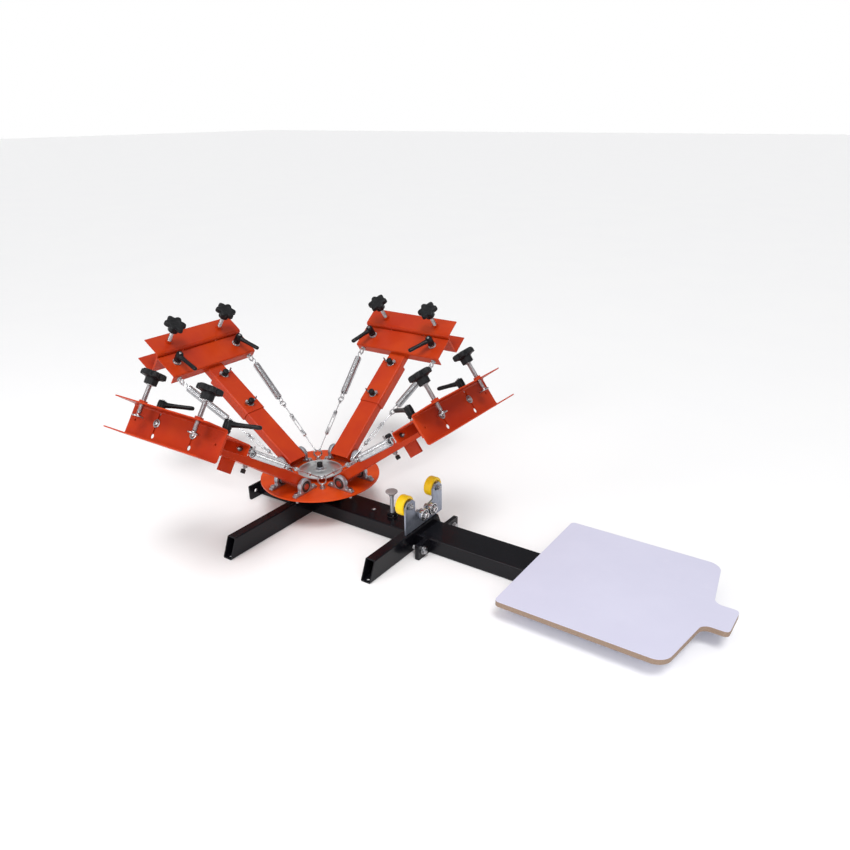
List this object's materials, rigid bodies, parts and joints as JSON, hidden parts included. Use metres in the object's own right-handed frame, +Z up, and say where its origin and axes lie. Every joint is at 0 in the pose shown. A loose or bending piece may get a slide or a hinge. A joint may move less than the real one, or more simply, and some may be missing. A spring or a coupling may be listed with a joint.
{
  "type": "screen printing carousel",
  "caption": "Tabletop screen printing press: sprung print arms with screen clamps on a turntable, over a flat printing board and a roller registration gate.",
  "frame": {"origin": "on the floor plane under the turntable's axis, at the beam's underside", "axes": "+X along the beam towards the printing board, +Z up"},
  "size_m": [1.8023, 1.1306, 0.5591],
  "materials": {
    "black_paint": "gloss",
    "orange_paint": "gloss",
    "board": "satin",
    "roller_yellow": "satin",
    "black_plastic": "matte",
    "knob_black": "matte",
    "zinc_plate": "satin",
    "grip_grey": "satin",
    "bright_steel": "satin"
  },
  "bodies": {
    "base": {"beam": "black_paint", "rear_leg": "black_paint", "front_leg": "black_paint", "pallet_arm": "black_paint", "pallet": "board", "beam_fasteners": "bright_steel", "pedestal": "black_paint", "gate_plate": "zinc_plate", "gate_bolts": "bright_steel"},
    "turntable": {"disc": "orange_paint", "hub": "bright_steel", "hub_cap": "black_plastic", "pillow_blocks": "bright_steel", "block_bolts": "bright_steel", "spring_posts": "bright_steel", "arm_1_springs": "bright_steel", "arm_2_springs": "bright_steel", "arm_3_springs": "bright_steel", "arm_4_springs": "bright_steel"},
    "rest_screw": {"rest_screw": "grip_grey"},
    "roller_near": {"roller_near": "roller_yellow"},
    "bearing_near": {"bearing_near": "bright_steel"},
    "roller_far": {"roller_far": "roller_yellow"},
    "bearing_far": {"bearing_far": "bright_steel"},
    "arm_1": {"arm_1_tube": "orange_paint", "arm_1_hardware": "bright_steel"},
    "arm_1_slide": {"arm_1_carriage": "orange_paint", "arm_1_carriage_bolts": "bright_steel"},
    "arm_1_head": {"arm_1_screen_channel": "orange_paint"},
    "arm_1_clamp_a": {"arm_1_clamp_screw_a": "knob_black"},
    "arm_1_handle_a": {"arm_1_lever_a": "black_plastic"},
    "arm_1_clamp_b": {"arm_1_clamp_screw_b": "knob_black"},
    "arm_1_handle_b": {"arm_1_lever_b": "black_plastic"},
    "arm_2": {"arm_2_tube": "orange_paint", "arm_2_hardware": "bright_steel"},
    "arm_2_slide": {"arm_2_carriage": "orange_paint", "arm_2_carriage_bolts": "bright_steel"},
    "arm_2_head": {"arm_2_screen_channel": "orange_paint"},
    "arm_2_clamp_a": {"arm_2_clamp_screw_a": "knob_black"},
    "arm_2_handle_a": {"arm_2_lever_a": "black_plastic"},
    "arm_2_clamp_b": {"arm_2_clamp_screw_b": "knob_black"},
    "arm_2_handle_b": {"arm_2_lever_b": "black_plastic"},
    "arm_3": {"arm_3_tube": "orange_paint", "arm_3_hardware": "bright_steel"},
    "arm_3_slide": {"arm_3_carriage": "orange_paint", "arm_3_carriage_bolts": "bright_steel"},
    "arm_3_head": {"arm_3_screen_channel": "orange_paint"},
    "arm_3_clamp_a": {"arm_3_clamp_screw_a": "knob_black"},
    "arm_3_handle_a": {"arm_3_lever_a": "black_plastic"},
    "arm_3_clamp_b": {"arm_3_clamp_screw_b": "knob_black"},
    "arm_3_handle_b": {"arm_3_lever_b": "black_plastic"},
    "arm_4": {"arm_4_tube": "orange_paint", "arm_4_hardware": "bright_steel"},
    "arm_4_slide": {"arm_4_carriage": "orange_paint", "arm_4_carriage_bolts": "bright_steel"},
    "arm_4_head": {"arm_4_screen_channel": "orange_paint"},
    "arm_4_clamp_a": {"arm_4_clamp_screw_a": "knob_black"},
    "arm_4_handle_a": {"arm_4_lever_a": "black_plastic"},
    "arm_4_clamp_b": {"arm_4_clamp_screw_b": "knob_black"},
    "arm_4_handle_b": {"arm_4_lever_b": "black_plastic"}
  },
  "joints": [
    {"name": "turntable_spin", "type": "hinge", "parent": "base", "child": "turntable", "pos_m": [0, 0, 0.105], "axis": [0, 0, 1], "continuous": true},
    {"name": "rest_height", "type": "slide", "parent": "base", "child": "rest_screw", "axis": [0, 0, 1], "range_m": [-0.012, 0]},
    {"name": "roller_near_spin", "type": "hinge", "parent": "base", "child": "roller_near", "pos_m": [0.3665, -0.069, 0.14], "axis": [1, 0, 0], "continuous": true},
    {"name": "bearing_near_spin", "type": "hinge", "parent": "base", "child": "bearing_near", "pos_m": [0.3975, -0.0215, 0.097], "axis": [1, 0, 0], "continuous": true},
    {"name": "roller_far_spin", "type": "hinge", "parent": "base", "child": "roller_far", "pos_m": [0.3665, 0.069, 0.14], "axis": [1, 0, 0], "continuous": true},
    {"name": "bearing_far_spin", "type": "hinge", "parent": "base", "child": "bearing_far", "pos_m": [0.3975, 0.0215, 0.097], "axis": [1, 0, 0], "continuous": true},
    {"name": "arm_1_lift", "type": "hinge", "parent": "turntable", "child": "arm_1", "pos_m": [0.12, 0, 0.132], "axis": [0, 1, 0], "range_deg": [0, 37], "stiffness_Nm_per_rad": 11, "springref_deg": -143.24, "deforming": ["arm_1_springs"]},
    {"name": "arm_1_reach", "type": "slide", "parent": "arm_1", "child": "arm_1_slide", "axis": [0.7986, 0, 0.6018], "range_m": [-0.006, 0.006], "deforming": ["arm_1_springs"]},
    {"name": "arm_1_head_height", "type": "slide", "parent": "arm_1_slide", "child": "arm_1_head", "axis": [-0.6018, 0, 0.7986], "range_m": [-0.014, 0.025]},
    {"name": "arm_1_clamp_a_screw", "type": "slide", "parent": "arm_1_head", "child": "arm_1_clamp_a", "axis": [-0.6018, 0, 0.7986], "range_m": [-0.033, 0.025]},
    {"name": "arm_1_lever_a_turn", "type": "hinge", "parent": "arm_1_slide", "child": "arm_1_handle_a", "pos_m": [0.4289, -0.12, 0.4399], "axis": [-0.6018, 0, 0.7986], "range_deg": [-24, 76]},
    {"name": "arm_1_clamp_b_screw", "type": "slide", "parent": "arm_1_head", "child": "arm_1_clamp_b", "axis": [-0.6018, 0, 0.7986], "range_m": [-0.033, 0.025]},
    {"name": "arm_1_lever_b_turn", "type": "hinge", "parent": "arm_1_slide", "child": "arm_1_handle_b", "pos_m": [0.4289, 0.12, 0.4399], "axis": [-0.6018, 0, 0.7986], "range_deg": [-50, 50]},
    {"name": "arm_2_lift", "type": "hinge", "parent": "turntable", "child": "arm_2", "pos_m": [0, 0.12, 0.132], "axis": [-1, 0, 0], "range_deg": [0, 37], "stiffness_Nm_per_rad": 11, "springref_deg": -143.24, "deforming": ["arm_2_springs"]},
    {"name": "arm_2_reach", "type": "slide", "parent": "arm_2", "child": "arm_2_slide", "axis": [0, 0.7986, 0.6018], "range_m": [-0.006, 0.006], "deforming": ["arm_2_springs"]},
    {"name": "arm_2_head_height", "type": "slide", "parent": "arm_2_slide", "child": "arm_2_head", "axis": [0, -0.6018, 0.7986], "range_m": [-0.014, 0.025]},
    {"name": "arm_2_clamp_a_screw", "type": "slide", "parent": "arm_2_head", "child": "arm_2_clamp_a", "axis": [0, -0.6018, 0.7986], "range_m": [-0.033, 0.025]},
    {"name": "arm_2_lever_a_turn", "type": "hinge", "parent": "arm_2_slide", "child": "arm_2_handle_a", "pos_m": [0.12, 0.4289, 0.4399], "axis": [0, -0.6018, 0.7986], "range_deg": [-22, 78]},
    {"name": "arm_2_clamp_b_screw", "type": "slide", "parent": "arm_2_head", "child": "arm_2_clamp_b", "axis": [0, -0.6018, 0.7986], "range_m": [-0.033, 0.025]},
    {"name": "arm_2_lever_b_turn", "type": "hinge", "parent": "arm_2_slide", "child": "arm_2_handle_b", "pos_m": [-0.12, 0.4289, 0.4399], "axis": [0, -0.6018, 0.7986], "range_deg": [-32, 68]},
    {"name": "arm_3_lift", "type": "hinge", "parent": "turntable", "child": "arm_3", "pos_m": [-0.12, 0, 0.132], "axis": [0, -1, 0], "range_deg": [0, 37], "stiffness_Nm_per_rad": 11, "springref_deg": -143.24, "deforming": ["arm_3_springs"]},
    {"name": "arm_3_reach", "type": "slide", "parent": "arm_3", "child": "arm_3_slide", "axis": [-0.7986, 0, 0.6018], "range_m": [-0.006, 0.006], "deforming": ["arm_3_springs"]},
    {"name": "arm_3_head_height", "type": "slide", "parent": "arm_3_slide", "child": "arm_3_head", "axis": [0.6018, 0, 0.7986], "range_m": [-0.014, 0.025]},
    {"name": "arm_3_clamp_a_screw", "type": "slide", "parent": "arm_3_head", "child": "arm_3_clamp_a", "axis": [0.6018, 0, 0.7986], "range_m": [-0.033, 0.025]},
    {"name": "arm_3_lever_a_turn", "type": "hinge", "parent": "arm_3_slide", "child": "arm_3_handle_a", "pos_m": [-0.4289, 0.12, 0.4399], "axis": [0.6018, 0, 0.7986], "range_deg": [-61, 39]},
    {"name": "arm_3_clamp_b_screw", "type": "slide", "parent": "arm_3_head", "child": "arm_3_clamp_b", "axis": [0.6018, 0, 0.7986], "range_m": [-0.033, 0.025]},
    {"name": "arm_3_lever_b_turn", "type": "hinge", "parent": "arm_3_slide", "child": "arm_3_handle_b", "pos_m": [-0.4289, -0.12, 0.4399], "axis": [0.6018, 0, 0.7986], "range_deg": [-48, 52]},
    {"name": "arm_4_lift", "type": "hinge", "parent": "turntable", "child": "arm_4", "pos_m": [0, -0.12, 0.132], "axis": [1, 0, 0], "range_deg": [0, 37], "stiffness_Nm_per_rad": 11, "springref_deg": -143.24, "deforming": ["arm_4_springs"]},
    {"name": "arm_4_reach", "type": "slide", "parent": "arm_4", "child": "arm_4_slide", "axis": [0, -0.7986, 0.6018], "range_m": [-0.006, 0.006], "deforming": ["arm_4_springs"]},
    {"name": "arm_4_head_height", "type": "slide", "parent": "arm_4_slide", "child": "arm_4_head", "axis": [0, 0.6018, 0.7986], "range_m": [-0.014, 0.025]},
    {"name": "arm_4_clamp_a_screw", "type": "slide", "parent": "arm_4_head", "child": "arm_4_clamp_a", "axis": [0, 0.6018, 0.7986], "range_m": [-0.033, 0.025]},
    {"name": "arm_4_lever_a_turn", "type": "hinge", "parent": "arm_4_slide", "child": "arm_4_handle_a", "pos_m": [-0.12, -0.4289, 0.4399], "axis": [0, 0.6018, 0.7986], "range_deg": [-4, 96]},
    {"name": "arm_4_clamp_b_screw", "type": "slide", "parent": "arm_4_head", "child": "arm_4_clamp_b", "axis": [0, 0.6018, 0.7986], "range_m": [-0.033, 0.025]},
    {"name": "arm_4_lever_b_turn", "type": "hinge", "parent": "arm_4_slide", "child": "arm_4_handle_b", "pos_m": [0.12, -0.4289, 0.4399], "axis": [0, 0.6018, 0.7986], "range_deg": [-4, 96]}
  ]
}
